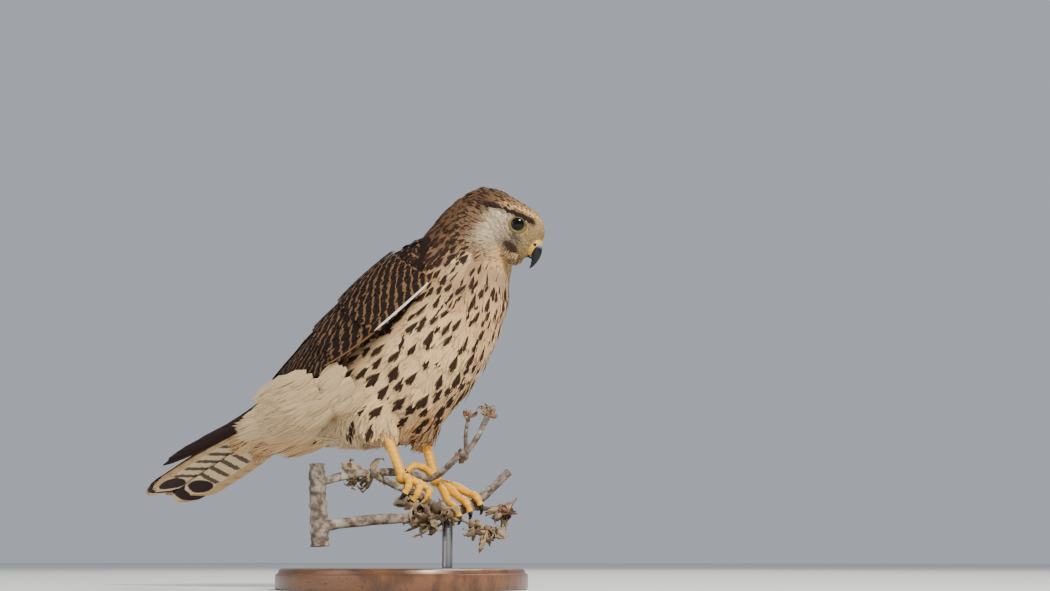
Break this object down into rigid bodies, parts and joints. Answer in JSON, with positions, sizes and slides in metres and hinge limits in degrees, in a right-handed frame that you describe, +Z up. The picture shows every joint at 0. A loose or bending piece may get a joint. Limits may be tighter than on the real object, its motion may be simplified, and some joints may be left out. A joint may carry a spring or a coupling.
{
  "type": "kestrel figure",
  "caption": "Life-size common kestrel perched on a cut forked twig, wings folded and head turned, on a round display stand.",
  "frame": {"origin": "centre of the round base's underside, on the floor", "axes": "+X the way the bird's body faces, +Y the bird's left, +Z up"},
  "size_m": [0.2944, 0.144, 0.2276],
  "materials": {
    "plumage_pale": "matt feathers",
    "plumage_brown": "matt feathers",
    "plumage_head": "matt feathers",
    "plumage_tail": "matt feathers",
    "eye": "wet gloss",
    "cere": "waxy",
    "bill": "satin horn",
    "claw": "satin horn",
    "foot": "scaly skin",
    "bark": "rough bark",
    "base": "satin lacquer",
    "rod": "satin"
  },
  "bodies": {
    "root": {"torso": "plumage_pale", "neck": "plumage_brown", "head": "plumage_head", "tail": "plumage_tail", "wing_left": "plumage_brown", "wing_right": "plumage_brown", "eye_left": "eye", "eye_right": "eye", "cere": "cere", "bill_upper": "bill", "bill_lower": "bill", "perch": "bark", "stand_base": "base", "stand_rod": "rod", "thigh_right": "plumage_pale", "leg_right": "foot", "foot_right": "foot", "claw_right_1": "claw", "claw_right_2": "claw", "claw_right_3": "claw", "claw_right_4": "claw", "thigh_left": "plumage_pale", "leg_left": "foot", "foot_left": "foot", "claw_left_1": "claw", "claw_left_2": "claw", "claw_left_3": "claw", "claw_left_4": "claw"}
  },
  "joints": []
}
